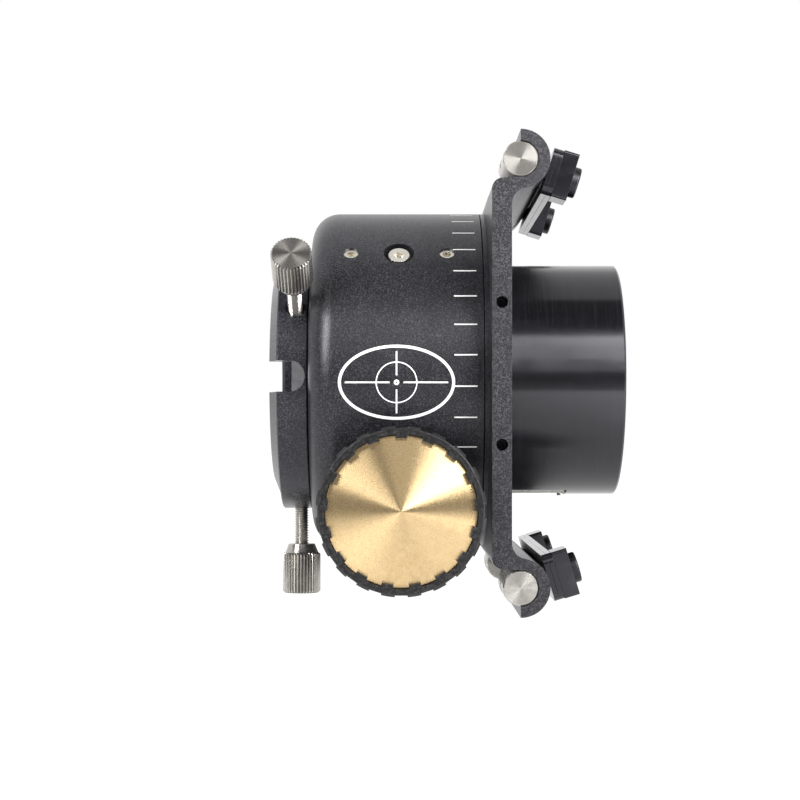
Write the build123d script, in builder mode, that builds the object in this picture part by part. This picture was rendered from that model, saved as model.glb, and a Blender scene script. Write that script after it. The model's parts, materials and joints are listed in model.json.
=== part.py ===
from build123d import *
from math import asin, cos, degrees, radians, sin, sqrt
import os

# A two-inch friction-drive focuser for a reflecting telescope, in millimetres.
# X runs along the optical axis, from the eyepiece (-X) to the telescope (+X).
# Y runs along the drive shaft and Z is up.
# The origin is where the optical axis crosses the base plate's telescope-side face.

# Fits
running_gap = 0.04
sliding_gap = 0.1
touch_gap = 0.05
edge_break = 0.3
seam_gap = 0.25

# Metric hardware: thread and head radii, head heights, and hexagons across their flats
m3_radius = 1.5
m3_head_radius = 2.75
m3_head_height = 3.0
m3_hex = 1.5
m4_radius = 2.0
m4_head_radius = 3.95
m4_head_height = 1.9
m4_head_fillet = 0.5
m4_hex = 2.5
set_hex = 2.0
hex_depth = 1.4
thread_gap = 0.02

# Base plate: one profile extruded along Y, with a hooked channel on each long edge
plate_thick = 5.0
plate_half_width = 55.0
channel_x = 2.2
channel_z = 53.9
channel_radius = 4.6
hook_radius = 7.45
hook_fillet = 4.0
shoulder_z = 46.4
shoulder_corner = 2.7
channel_end_angle = 262.0
ring_screw_circle = 42.2
ring_screw_count = 4
countersink_radius = 3.1
lock_screw_z = 17.9
lock_screw_length = 14.0
lock_hole_depth = 25.0

# Tube clamps: barrel nuts in the channels, screws through two strips and a block
barrel_radius = 4.5
barrel_length = 22.0
clamp_screw_y = 42.5
clamp_tilt = 17.0
clamp_swing_up = 17.0
clamp_swing_down = 13.0
slot_spread = 30.0
slot_reach = 12.0
strip_gap = 7.6
strip_thick = 1.3
strip_width = 12.2
strip_length = 97.0
strip_corner = 2.4
strip_shift = 0.4
block_start = strip_gap + 2 * strip_thick + 2 * touch_gap
block_thick = 3.95
block_height = 12.3
block_width = 11.0
block_corner = 0.7
screw_tail = 4.2

# Rotating body
body_radius = 46.1
body_front = -52.0
body_back = -6.5
body_fillet = 7.3
body_bore = 32.7
spigot_radius = 38.0
spigot_end = -0.3
spigot_groove_x = -2.5
spigot_groove_depth = 1.0
ring_front = -6.25

# Drawtube and its steel track
tube_radius = 31.85
tube_bore = 28.0
tube_front = -52.3
tube_back = 31.5
tube_socket_radius = 29.45
tube_socket_depth = 6.3
flat_z = -30.55
flat_front = -36.0
flat_back = 17.7
track_thick = 0.9
track_width = 12.0
track_screw_x = flat_front + 3.0
stop_screw_x = 16.7
stop_screw_radius = 1.0
stop_screw_depth = 1.8
track_end_gap = 0.3
stop_screw_bottom = -32.25

# Eyepiece clamp ring
socket_radius = 25.45
clamp_front = -62.8
clamp_rim_radius = 28.0
clamp_cone_radius = 33.2
clamp_cone_end = -60.7
clamp_radius = 35.8
clamp_shoulder = -60.2
clamp_back = -52.35
clamp_spigot_radius = 29.4
clamp_spigot_end = -46.1
notch_width = 8.2
notch_end = -53.0
squeeze_front = -60.0
squeeze_back = -52.9
squeeze_inner = socket_radius
squeeze_outer = 27.0
squeeze_groove = 27.3

# Thumb screws of the eyepiece clamp
thumb_x = -55.7
thumb_angles = [30.0, 150.0, 270.0]
thumb_pad_start = 27.1
thumb_pad_length = 1.2
thumb_pad_radius = 1.6
thumb_neck_start = 45.7
thumb_neck_radius = 3.7
thumb_head_start = 48.2
thumb_head_end = 59.4
thumb_head_radius = 5.27
thumb_hole_chamfer = 0.9
thumb_hole_taper = 38
knurl_count = 36
knurl_depth = 0.35

# Drive shaft, below the drawtube and across it
shaft_x = -27.8
shaft_radius = 3.0
shaft_z = flat_z - track_thick - shaft_radius
shaft_near_end = -58.5
shaft_far_end = 52.0

# Shaft block, let into the underside of the body
block_half_length = 11.8
shaft_block_top = -29.2
shaft_block_relief = -32.6
shaft_block_relief_half = 20.0
bush_radius = 4.5
bush_inner_end = 22.0
bush_outer_end = 29.8
block_screw_y = 24.5
block_screw_x = 8.6
block_screw_seat = shaft_block_top - 4.0
block_screw_length = 9.0
press_screw_y = 10.0
press_pad_height = 1.5
press_pad_depth = 6.5
press_pad_radius = 2.2
press_head_top = -48.4
press_head_bottom = -54.6
press_head_radius = 5.0

# Bearing carriers opposite the shaft
carrier_angle = 44.6
carrier_x = -28.4
carrier_length = 33.6
carrier_width = 9.6
carrier_inner = 33.4
carrier_outer = 42.0
pocket_slack = 0.1
roller_radius = 4.0
roller_width = 3.0
roller_spacing = 11.0
roller_bore = 1.5
roller_chamfer = 0.2
roller_centre = tube_radius + sliding_gap + roller_radius
set_screw_reach = 12.6
set_screw_length = 3.6
set_screw_hex_depth = 2.0
carrier_head_radius = 3.25
carrier_head_height = 2.0
carrier_head_taper = 14
carrier_head_seat = 43.4
carrier_screw_length = 7.0
counterbore_radius = 4.0

# Focus knobs
knob_radius = 21.25
knob_back = 46.5
hub_start = 38.0
hub_radius = 7.0
hub_screw_y = 42.0
knob_front = 62.0
knob_chamfer = 0.8
knob_teeth = 20
knob_tooth_depth = 0.5
knob_groove_width = 3.2
disc_radius = 19.05
disc_back = 59.3
disc_face = 60.9
disc_rise = 1.0
tab_count = 17
tab_width = 3.0
tab_depth = 0.45
tab_back = disc_face + touch_gap

# Fine-focus knob and its reduction, on the far side
fine_shaft_radius = 2.0
fine_shaft_start = 52.3
cage_radius = 6.2
cage_start = 52.1
cage_end = 57.5
ball_radius = 1.6
ball_circle = fine_shaft_radius + ball_radius + touch_gap
fine_radius = 12.5
fine_back = 63.0
fine_front = 75.0
fine_teeth = 14
fine_tooth_depth = 0.5
fine_groove_width = 2.4
fine_recess = 2.4
fine_disc_radius = 10.6
fine_disc_face = fine_front - 0.9
fine_shaft_end = 72.0

os.makedirs("parts", exist_ok=True)


def save(node, name):
    """Label a finished piece and write it as one STEP file."""
    node.part.label = name
    export_step(node.part, f"parts/{name}.step")


def radial_plane(x, angle):
    """A plane on the optical axis whose normal points outwards at an angle above the near side."""
    outward = (0, -cos(radians(angle)), sin(radians(angle)))
    return Plane(origin=(x, 0, 0), x_dir=(1, 0, 0), z_dir=outward)


def clamp_plane(y, side):
    """A plane at a channel's centre whose normal is the clamp screw's axis; side is +1 above, -1 below."""
    tilt = radians(clamp_tilt)
    along = (cos(tilt), 0, -side * sin(tilt))
    return Plane(origin=(channel_x, y, side * channel_z), x_dir=(0, 1, 0), z_dir=along)


def turned_on_x(points):
    """A solid of revolution about the optical axis, from an outline of (x, radius) points."""
    with BuildPart() as turned:
        with BuildSketch(Plane.XZ):
            with BuildLine():
                Polyline(*points, close=True)
            make_face()
        revolve(axis=Axis.X)
    return turned.part


def drive_plane(y):
    """A plane square to the drive shaft, at height y along it, facing away from the far side."""
    return Plane(origin=(shaft_x, y, shaft_z), x_dir=(1, 0, 0), z_dir=(0, -1, 0))


# --- Base plate -------------------------------------------------------------------------------

fillet_rise = sqrt((hook_radius + hook_fillet) ** 2 - (hook_fillet - channel_x) ** 2)
fillet_z = channel_z - fillet_rise
fillet_angle = degrees(asin(fillet_rise / (hook_radius + hook_fillet)))
channel_lip = (
    channel_x + channel_radius * cos(radians(channel_end_angle)),
    channel_z + channel_radius * sin(radians(channel_end_angle)),
)
shoulder_top = (-plate_thick + shoulder_corner, shoulder_z + shoulder_corner)
slot_up = radians(clamp_swing_up - clamp_tilt + slot_spread)
slot_down = radians(clamp_swing_down + clamp_tilt + slot_spread)

with BuildPart() as base_plate:
    with BuildSketch(Plane.XZ):
        with BuildLine():
            Line((0, 0), (-plate_thick, 0))
            Line((-plate_thick, 0), (-plate_thick, shoulder_z))
            TangentArc((-plate_thick, shoulder_z), shoulder_top, tangent=(0, 1))
            Line(shoulder_top, channel_lip)
            CenterArc((channel_x, channel_z), channel_radius, channel_end_angle, 450 - channel_end_angle)
            Line((channel_x, channel_z + channel_radius), (channel_x, channel_z + hook_radius))
            CenterArc((channel_x, channel_z), hook_radius, 90, -90 - fillet_angle)
            CenterArc((hook_fillet, fillet_z), hook_fillet, 180 - fillet_angle, fillet_angle)
            Line((0, fillet_z), (0, 0))
        make_face()
        mirror(about=Plane.XZ)
    extrude(amount=plate_half_width, both=True)
    with BuildSketch(Plane.YZ.offset(-plate_thick)):
        Circle(spigot_radius + sliding_gap)
    extrude(amount=plate_thick, mode=Mode.SUBTRACT)
    for side in (1, -1):
        for screw_y in (-clamp_screw_y, clamp_screw_y):
            # A slot in the hook lets the clamp screw swing with its barrel nut.
            corners = [(channel_x, side * channel_z)]
            for turn in (slot_up, -slot_down):
                rise = side * (channel_z + slot_reach * sin(turn))
                corners.append((channel_x + slot_reach * cos(turn), rise))
            with BuildSketch(Plane.XZ.offset(-screw_y)):
                with BuildLine():
                    Polyline(*corners, close=True)
                make_face()
            extrude(amount=m4_radius + seam_gap, both=True, mode=Mode.SUBTRACT)
    for edge in (-1, 1):
        for height in (-lock_screw_z, lock_screw_z):
            with BuildSketch(Plane.XZ.offset(edge * plate_half_width)):
                with Locations((spigot_groove_x, height)):
                    Circle(m3_radius)
            extrude(amount=-edge * lock_hole_depth, mode=Mode.SUBTRACT)
    with Locations(Plane.YZ):
        with PolarLocations(ring_screw_circle, ring_screw_count, start_angle=45):
            CounterSinkHole(m3_radius + sliding_gap, countersink_radius, depth=plate_thick)
save(base_plate, "base_plate")

# --- Flange ring and the plate's screws ----------------------------------------------------------

rotation_ring_blank = turned_on_x([
    (ring_front, spigot_radius + sliding_gap),
    (ring_front, body_radius),
    (-plate_thick, body_radius),
    (-plate_thick, spigot_radius + sliding_gap),
])
with BuildPart() as rotation_ring:
    add(rotation_ring_blank)
    with BuildSketch(Plane.YZ.offset(ring_front)):
        with PolarLocations(ring_screw_circle, ring_screw_count, start_angle=45):
            Circle(m3_radius)
    extrude(amount=-plate_thick - ring_front, mode=Mode.SUBTRACT)
save(rotation_ring, "rotation_ring")

flush_head_radius = countersink_radius - seam_gap
flush_head_height = flush_head_radius - m3_radius
with BuildPart() as ring_screws:
    with Locations(Plane.YZ):
        with PolarLocations(ring_screw_circle, ring_screw_count, start_angle=45):
            Cone(
                m3_radius - touch_gap, flush_head_radius, flush_head_height,
                align=(Align.CENTER, Align.CENTER, Align.MAX),
            )
            Cylinder(m3_radius - touch_gap, -ring_front, align=(Align.CENTER, Align.CENTER, Align.MAX))
    with BuildSketch(Plane.YZ):
        with PolarLocations(ring_screw_circle, ring_screw_count, start_angle=45):
            RegularPolygon(set_hex / 2, 6, major_radius=False)
    extrude(amount=-flush_head_height, mode=Mode.SUBTRACT)
save(ring_screws, "ring_screws")

lock_tip_y = sqrt(spigot_radius**2 - (lock_screw_z - m3_radius) ** 2) + sliding_gap
with BuildPart() as body_lock_screws:
    for edge in (-1, 1):
        for height in (-lock_screw_z, lock_screw_z):
            inner = Plane(
                origin=(spigot_groove_x, edge * lock_tip_y, height),
                x_dir=(1, 0, 0),
                z_dir=(0, edge, 0),
            )
            with Locations(inner):
                Cylinder(
                    m3_radius - thread_gap, lock_screw_length,
                    align=(Align.CENTER, Align.CENTER, Align.MIN),
                )
            with BuildSketch(inner.offset(lock_screw_length)):
                RegularPolygon(m3_hex / 2, 6, major_radius=False)
            extrude(amount=-hex_depth, mode=Mode.SUBTRACT)
save(body_lock_screws, "body_lock_screws")

# --- Tube clamps ---------------------------------------------------------------------------------


def make_barrel_nuts(side):
    with BuildPart() as nuts:
        for edge in (-1, 1):
            with BuildSketch(Plane.XZ.offset(edge * plate_half_width)):
                with Locations((channel_x, side * channel_z)):
                    Circle(barrel_radius)
            extrude(amount=-edge * barrel_length)
            with BuildSketch(clamp_plane(-edge * clamp_screw_y, side).offset(-barrel_radius)):
                Circle(m4_radius)
            extrude(amount=2 * barrel_radius, mode=Mode.SUBTRACT)
        rims = nuts.faces().filter_by(Axis.Y).edges().filter_by(GeomType.CIRCLE)
        chamfer(rims, edge_break)
    return nuts


def make_clamp_screws(side):
    with BuildPart() as screws:
        for screw_y in (-clamp_screw_y, clamp_screw_y):
            seat = clamp_plane(screw_y, side)
            top = seat.offset(block_start + block_thick + m4_head_height)
            with BuildSketch(seat.offset(-screw_tail)):
                Circle(m4_radius - thread_gap)
            extrude(amount=screw_tail + block_start + block_thick)
            with BuildSketch(seat.offset(block_start + block_thick)):
                Circle(m4_head_radius)
            extrude(amount=m4_head_height)
            head_rims = screws.edges(Select.LAST).filter_by(GeomType.CIRCLE)
            fillet(head_rims.sort_by(Axis(seat.origin, seat.z_dir))[-1], m4_head_fillet)
            with BuildSketch(top):
                RegularPolygon(m4_hex / 2, 6, major_radius=False)
            extrude(amount=-hex_depth, mode=Mode.SUBTRACT)
    return screws


def make_strip(side, distance):
    middle = clamp_plane(0, side).offset(distance)
    with BuildPart() as strip:
        with BuildSketch(middle):
            with Locations((0, side * strip_shift)):
                RectangleRounded(strip_length, strip_width, strip_corner)
            with Locations((-clamp_screw_y, 0), (clamp_screw_y, 0)):
                Circle(m4_radius + sliding_gap, mode=Mode.SUBTRACT)
        extrude(amount=strip_thick)
    return strip


def make_clamp_blocks(side):
    with BuildPart() as blocks:
        for screw_y in (-clamp_screw_y, clamp_screw_y):
            with BuildSketch(clamp_plane(screw_y, side).offset(block_start)):
                with Locations((0, side * strip_shift)):
                    RectangleRounded(block_width, block_height, block_corner)
                Circle(m4_radius + sliding_gap, mode=Mode.SUBTRACT)
            extrude(amount=block_thick)
    return blocks


for side, place in ((1, "upper"), (-1, "lower")):
    save(make_barrel_nuts(side), f"{place}_barrel_nuts")
    save(make_clamp_screws(side), f"{place}_clamp_screws")
    save(make_strip(side, strip_gap), f"{place}_seat_strip")
    save(make_strip(side, strip_gap + strip_thick + touch_gap), f"{place}_backing_strip")
    save(make_clamp_blocks(side), f"{place}_clamp_blocks")

# --- Rotating body -------------------------------------------------------------------------------

slot_half = block_half_length + 0.2
with BuildPart() as main_body:
    with BuildSketch(Plane.XZ):
        with BuildLine():
            Polyline(
                (body_front, body_bore),
                (body_front, body_radius - body_fillet),
            )
            RadiusArc(
                (body_front, body_radius - body_fillet),
                (body_front + body_fillet, body_radius),
                body_fillet,
            )
            Polyline(
                (body_front + body_fillet, body_radius),
                (body_back, body_radius),
                (body_back, spigot_radius),
                (spigot_groove_x - spigot_groove_depth, spigot_radius),
                (spigot_groove_x, spigot_radius - spigot_groove_depth),
                (spigot_groove_x + spigot_groove_depth, spigot_radius),
                (spigot_end, spigot_radius),
                (spigot_end, body_bore),
                (body_front, body_bore),
            )
        make_face()
    revolve(axis=Axis.X)
    with BuildSketch(Plane.XY.offset(shaft_block_top + 0.2)):
        with Locations((shaft_x, 0)):
            Rectangle(2 * slot_half, 2 * body_radius)
    extrude(amount=-body_radius, mode=Mode.SUBTRACT)
    for angle in (carrier_angle, 180 - carrier_angle):
        seat = radial_plane(carrier_x, angle)
        with BuildSketch(seat.offset(body_bore - 2)):
            Rectangle(carrier_length + 2 * pocket_slack, carrier_width + 2 * pocket_slack)
        extrude(amount=carrier_outer + pocket_slack - body_bore + 2, mode=Mode.SUBTRACT)
        with BuildSketch(seat.offset(carrier_head_seat)):
            Circle(counterbore_radius)
        extrude(amount=5, mode=Mode.SUBTRACT)
        with BuildSketch(seat.offset(carrier_outer - 1)):
            Circle(m4_radius + sliding_gap)
            with Locations((-set_screw_reach, 0), (set_screw_reach, 0)):
                Circle(m4_radius)
        extrude(amount=6, mode=Mode.SUBTRACT)
    with BuildSketch(Plane.XY.offset(shaft_block_top)):
        with Locations((shaft_x, 0)):
            with GridLocations(2 * block_screw_x, 2 * block_screw_y, 2, 2):
                Circle(m3_radius)
    extrude(amount=block_screw_length - (shaft_block_top - block_screw_seat) + seam_gap, mode=Mode.SUBTRACT)
save(main_body, "main_body")

# --- Shaft block, bushes and press screws -----------------------------------------------------------

with BuildPart() as shaft_block:
    with BuildSketch(Plane.YZ.offset(shaft_x - block_half_length)):
        Circle(body_radius)
        with Locations((0, shaft_block_top)):
            Rectangle(
                3 * body_radius, 3 * body_radius, align=(Align.CENTER, Align.MIN), mode=Mode.SUBTRACT
            )
        with Locations((0, shaft_block_relief)):
            Rectangle(
                2 * shaft_block_relief_half, 10, align=(Align.CENTER, Align.MIN), mode=Mode.SUBTRACT
            )
    extrude(amount=2 * block_half_length)
    with BuildSketch(drive_plane(body_radius)):
        Circle(shaft_radius + seam_gap)
    extrude(amount=2 * body_radius, mode=Mode.SUBTRACT)
    for edge in (-1, 1):
        with BuildSketch(drive_plane(edge * bush_inner_end)):
            Circle(bush_radius)
        extrude(amount=-edge * bush_radius * 3, mode=Mode.SUBTRACT)
    with BuildSketch(Plane.XY.offset(shaft_z)):
        with Locations((shaft_x, -press_screw_y), (shaft_x, press_screw_y)):
            Circle(m4_radius)
    extrude(amount=-body_radius, mode=Mode.SUBTRACT)
    with BuildSketch(Plane.XY.offset(shaft_z - press_pad_depth)):
        with Locations((shaft_x, -press_screw_y), (shaft_x, press_screw_y)):
            Circle(press_pad_radius + sliding_gap)
    extrude(amount=press_pad_depth, mode=Mode.SUBTRACT)
    with BuildSketch(Plane.XY.offset(shaft_block_top)):
        with Locations((shaft_x, 0)):
            with GridLocations(2 * block_screw_x, 2 * block_screw_y, 2, 2):
                Circle(m3_radius + sliding_gap)
    extrude(amount=-body_radius, mode=Mode.SUBTRACT)
    with BuildSketch(Plane.XY.offset(block_screw_seat)):
        with Locations((shaft_x, 0)):
            with GridLocations(2 * block_screw_x, 2 * block_screw_y, 2, 2):
                Circle(m3_head_radius + sliding_gap)
    extrude(amount=-body_radius, mode=Mode.SUBTRACT)
save(shaft_block, "shaft_block")

with BuildPart() as shaft_block_screws:
    with BuildSketch(Plane.XY.offset(block_screw_seat)):
        with Locations((shaft_x, 0)):
            with GridLocations(2 * block_screw_x, 2 * block_screw_y, 2, 2):
                Circle(m3_radius - thread_gap)
    extrude(amount=block_screw_length)
    with BuildSketch(Plane.XY.offset(block_screw_seat)):
        with Locations((shaft_x, 0)):
            with GridLocations(2 * block_screw_x, 2 * block_screw_y, 2, 2):
                Circle(m3_head_radius)
    extrude(amount=-m3_head_height)
    with BuildSketch(Plane.XY.offset(block_screw_seat - m3_head_height)):
        with Locations((shaft_x, 0)):
            with GridLocations(2 * block_screw_x, 2 * block_screw_y, 2, 2):
                RegularPolygon(m4_hex / 2, 6, major_radius=False)
    extrude(amount=hex_depth, mode=Mode.SUBTRACT)
save(shaft_block_screws, "shaft_block_screws")

with BuildPart() as shaft_bushes:
    for edge in (-1, 1):
        with BuildSketch(drive_plane(edge * bush_inner_end)):
            Circle(bush_radius - thread_gap)
            Circle(shaft_radius + running_gap, mode=Mode.SUBTRACT)
        extrude(amount=-edge * (bush_outer_end - bush_inner_end))
save(shaft_bushes, "shaft_bushes")


def knurled_head(plane, radius, length, teeth):
    """A sketch-and-extrude head with straight grooves, standing on a plane along its normal."""
    with BuildPart() as head:
        with BuildSketch(plane):
            Circle(radius)
            with PolarLocations(radius, teeth):
                Rectangle(2 * knurl_depth, knurl_depth, rotation=45, mode=Mode.SUBTRACT)
        extrude(amount=length)
    return head.part


def make_press_screw(y):
    bottom = Plane(origin=(shaft_x, y, press_head_top), x_dir=(1, 0, 0), z_dir=(0, 0, -1))
    head = knurled_head(bottom, press_head_radius, press_head_top - press_head_bottom, 30)
    shank_top = shaft_z - shaft_radius - touch_gap - press_pad_height - touch_gap
    with BuildPart() as screw:
        add(head)
        with BuildSketch(bottom):
            Circle(m4_radius - thread_gap)
        extrude(amount=press_head_top - shank_top)
    return screw


def make_press_pad(y):
    top = shaft_z - shaft_radius - touch_gap
    with BuildPart() as pad:
        with BuildSketch(Plane.XY.offset(top)):
            with Locations((shaft_x, y)):
                Circle(press_pad_radius)
        extrude(amount=-press_pad_height)
    return pad


for name, press_y in (("tension", press_screw_y), ("lock", -press_screw_y)):
    save(make_press_screw(press_y), f"{name}_screw")
    save(make_press_pad(press_y), f"{name}_pad")

# --- Bearing carriers ------------------------------------------------------------------------------


def roller_plane(angle, roller_x):
    """A plane at a roller's centre whose normal is the roller's axle."""
    seat = radial_plane(carrier_x, angle)
    middle = seat.from_local_coords((roller_x, 0, roller_centre))
    return Plane(origin=middle, x_dir=(1, 0, 0), z_dir=seat.y_dir)


def make_carrier(angle):
    seat = radial_plane(carrier_x, angle)
    with BuildPart() as carrier:
        with BuildSketch(seat.offset(carrier_inner)):
            Rectangle(carrier_length, carrier_width)
            with Locations((-roller_spacing, 0), (roller_spacing, 0)):
                Rectangle(2 * roller_radius + 1, roller_width + 0.4, mode=Mode.SUBTRACT)
        extrude(amount=carrier_outer - carrier_inner)
        with BuildSketch(seat.offset(carrier_inner)):
            Circle(m4_radius)
        extrude(amount=carrier_outer, mode=Mode.SUBTRACT)
        for roller_x in (-roller_spacing, roller_spacing):
            with BuildSketch(roller_plane(angle, roller_x)):
                Circle(roller_bore)
            extrude(amount=carrier_width, both=True, mode=Mode.SUBTRACT)
    return carrier


def make_roller(angle, roller_x):
    with BuildPart() as roller:
        with BuildSketch(roller_plane(angle, roller_x)):
            Circle(roller_radius)
            Circle(roller_bore + running_gap, mode=Mode.SUBTRACT)
        extrude(amount=roller_width / 2, both=True)
        chamfer(roller.edges().filter_by(GeomType.CIRCLE), roller_chamfer)
    return roller


save(make_carrier(carrier_angle), "near_bearing_carrier")
save(make_carrier(180 - carrier_angle), "far_bearing_carrier")

roller_places = [
    (carrier_angle, -roller_spacing),
    (carrier_angle, roller_spacing),
    (180 - carrier_angle, -roller_spacing),
    (180 - carrier_angle, roller_spacing),
]
for number, (angle, roller_x) in enumerate(roller_places, start=1):
    save(make_roller(angle, roller_x), f"roller_bearing_{number}")

with BuildPart() as bearing_pins:
    for angle, roller_x in roller_places:
        with BuildSketch(roller_plane(angle, roller_x)):
            Circle(roller_bore - thread_gap)
        extrude(amount=carrier_width / 2, both=True)
save(bearing_pins, "bearing_pins")

with BuildPart() as carrier_screws:
    for angle in (carrier_angle, 180 - carrier_angle):
        seat = radial_plane(carrier_x, angle)
        with BuildSketch(seat.offset(carrier_head_seat - carrier_screw_length)):
            Circle(m4_radius - thread_gap)
        extrude(amount=carrier_screw_length)
        with BuildSketch(seat.offset(carrier_head_seat)):
            Circle(carrier_head_radius)
        extrude(amount=carrier_head_height, taper=carrier_head_taper)
        with BuildSketch(seat.offset(carrier_head_seat + carrier_head_height)):
            RegularPolygon(m4_hex / 2, 6, major_radius=False)
        extrude(amount=-hex_depth, mode=Mode.SUBTRACT)
save(carrier_screws, "carrier_screws")

with BuildPart() as carrier_set_screws:
    for angle in (carrier_angle, 180 - carrier_angle):
        seat = radial_plane(carrier_x, angle)
        for screw_x in (-set_screw_reach, set_screw_reach):
            with BuildSketch(seat.offset(carrier_outer)):
                with Locations((screw_x, 0)):
                    Circle(m4_radius - thread_gap)
            extrude(amount=set_screw_length)
            with BuildSketch(seat.offset(carrier_outer + set_screw_length)):
                with Locations((screw_x, 0)):
                    RegularPolygon(set_hex / 2, 6, major_radius=False)
            extrude(amount=-set_screw_hex_depth, mode=Mode.SUBTRACT)
save(carrier_set_screws, "carrier_set_screws")

# --- Drawtube ----------------------------------------------------------------------------------------

drawtube_blank = turned_on_x([
    (tube_front, tube_socket_radius),
    (tube_front, tube_radius - 0.4),
    (tube_front + 0.4, tube_radius),
    (tube_back - 0.5, tube_radius),
    (tube_back, tube_radius - 0.5),
    (tube_back, tube_bore + 0.5),
    (tube_back - 0.5, tube_bore),
    (tube_front + tube_socket_depth, tube_bore),
    (tube_front + tube_socket_depth, tube_socket_radius),
])
with BuildPart() as drawtube:
    add(drawtube_blank)
    with BuildSketch(Plane.XY.offset(flat_z)):
        with Locations(((flat_front + flat_back) / 2, 0)):
            Rectangle(flat_back - flat_front, 2 * tube_radius)
    extrude(amount=-5, mode=Mode.SUBTRACT)
    with BuildSketch(Plane.XY.offset(flat_z)):
        with Locations((track_screw_x, 0), (stop_screw_x, 0)):
            Circle(stop_screw_radius)
    extrude(amount=stop_screw_depth + seam_gap, mode=Mode.SUBTRACT)
save(drawtube, "drawtube")

with BuildPart() as steel_track:
    with BuildSketch(Plane.XY.offset(flat_z)):
        with Locations(((flat_front + flat_back) / 2, 0)):
            Rectangle(flat_back - flat_front - 2 * track_end_gap, track_width)
        with Locations((track_screw_x, 0), (stop_screw_x, 0)):
            Circle(stop_screw_radius, mode=Mode.SUBTRACT)
    extrude(amount=-track_thick)
save(steel_track, "steel_track")

with BuildPart() as track_screw:
    with BuildSketch(Plane.XY.offset(flat_z - track_thick)):
        with Locations((track_screw_x, 0)):
            Circle(stop_screw_radius - thread_gap)
    extrude(amount=track_thick + stop_screw_depth)
save(track_screw, "track_screw")

with BuildPart() as stop_screw:
    with BuildSketch(Plane.XY.offset(stop_screw_bottom)):
        with Locations((stop_screw_x, 0)):
            Circle(stop_screw_radius - thread_gap)
    extrude(amount=flat_z + stop_screw_depth - stop_screw_bottom)
save(stop_screw, "stop_screw")

# --- Eyepiece clamp ------------------------------------------------------------------------------------

eyepiece_clamp_blank = turned_on_x([
    (clamp_front, socket_radius + 0.8),
    (clamp_front, clamp_rim_radius),
    (clamp_cone_end, clamp_cone_radius),
    (clamp_cone_end + 0.2, clamp_radius - 0.4),
    (clamp_shoulder, clamp_radius),
    (clamp_back - 0.3, clamp_radius),
    (clamp_back, clamp_radius - 0.3),
    (clamp_back, clamp_spigot_radius),
    (clamp_spigot_end, clamp_spigot_radius),
    (clamp_spigot_end, socket_radius),
    (squeeze_back + sliding_gap, socket_radius),
    (squeeze_back + sliding_gap, squeeze_groove),
    (squeeze_front - sliding_gap, squeeze_groove),
    (squeeze_front - sliding_gap, socket_radius),
    (clamp_front + 0.8, socket_radius),
])
with BuildPart() as eyepiece_clamp:
    add(eyepiece_clamp_blank)
    # The key notch is open at the front and round at its inner end.
    notch_middle = notch_end - notch_width / 2
    with BuildSketch(Plane.XZ):
        with Locations((notch_middle, 0)):
            Circle(notch_width / 2)
        with Locations(((clamp_front + notch_middle) / 2 - 1, 0)):
            Rectangle(notch_middle - clamp_front + 2, notch_width)
    extrude(amount=clamp_radius + 1, mode=Mode.SUBTRACT)
    for angle in thumb_angles:
        with BuildSketch(radial_plane(thumb_x, angle).offset(socket_radius)):
            Circle(m4_radius + running_gap)
        extrude(amount=clamp_radius, mode=Mode.SUBTRACT)
        with BuildSketch(radial_plane(thumb_x, angle).offset(clamp_radius - thumb_hole_chamfer)):
            Circle(m4_radius + running_gap)
        extrude(amount=thumb_hole_chamfer, taper=-thumb_hole_taper, mode=Mode.SUBTRACT)
save(eyepiece_clamp, "eyepiece_clamp")

compression_ring_blank = turned_on_x([
    (squeeze_front, squeeze_inner),
    (squeeze_front, squeeze_outer),
    (squeeze_back, squeeze_outer),
    (squeeze_back, squeeze_inner),
])
with BuildPart() as compression_ring:
    add(compression_ring_blank)
    with BuildSketch(Plane.XZ):
        with Locations(((squeeze_front + squeeze_back) / 2, 0)):
            Rectangle(2 * (squeeze_back - squeeze_front), notch_width)
    extrude(amount=clamp_radius, mode=Mode.SUBTRACT)
save(compression_ring, "compression_ring")


def make_thumb_screw(angle):
    seat = radial_plane(thumb_x, angle)
    head_length = thumb_head_end - thumb_head_start
    head = knurled_head(seat.offset(thumb_head_start), thumb_head_radius, head_length, knurl_count)
    shank_start = thumb_pad_start + thumb_pad_length + touch_gap
    with BuildPart() as screw:
        add(head)
        with BuildSketch(seat.offset(shank_start)):
            Circle(m4_radius)
        extrude(amount=thumb_head_start - shank_start)
        with BuildSketch(seat.offset(thumb_neck_start)):
            Circle(thumb_neck_radius)
        with BuildSketch(seat.offset(thumb_head_start)):
            Circle(thumb_head_radius - knurl_depth)
        loft()
    return screw


def make_thumb_pad(angle):
    with BuildPart() as pad:
        with BuildSketch(radial_plane(thumb_x, angle).offset(thumb_pad_start)):
            Circle(thumb_pad_radius)
        extrude(amount=thumb_pad_length)
    return pad


for number, angle in enumerate(thumb_angles, start=1):
    save(make_thumb_screw(angle), f"thumb_screw_{number}")
    save(make_thumb_pad(angle), f"thumb_pad_{number}")

# --- Focus knobs and drive shaft -------------------------------------------------------------------------

with BuildPart() as drive_shaft:
    with BuildSketch(drive_plane(shaft_far_end)):
        Circle(shaft_radius)
    extrude(amount=shaft_far_end - shaft_near_end)
    chamfer(drive_shaft.edges().filter_by(GeomType.CIRCLE), edge_break)
save(drive_shaft, "drive_shaft")


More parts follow.
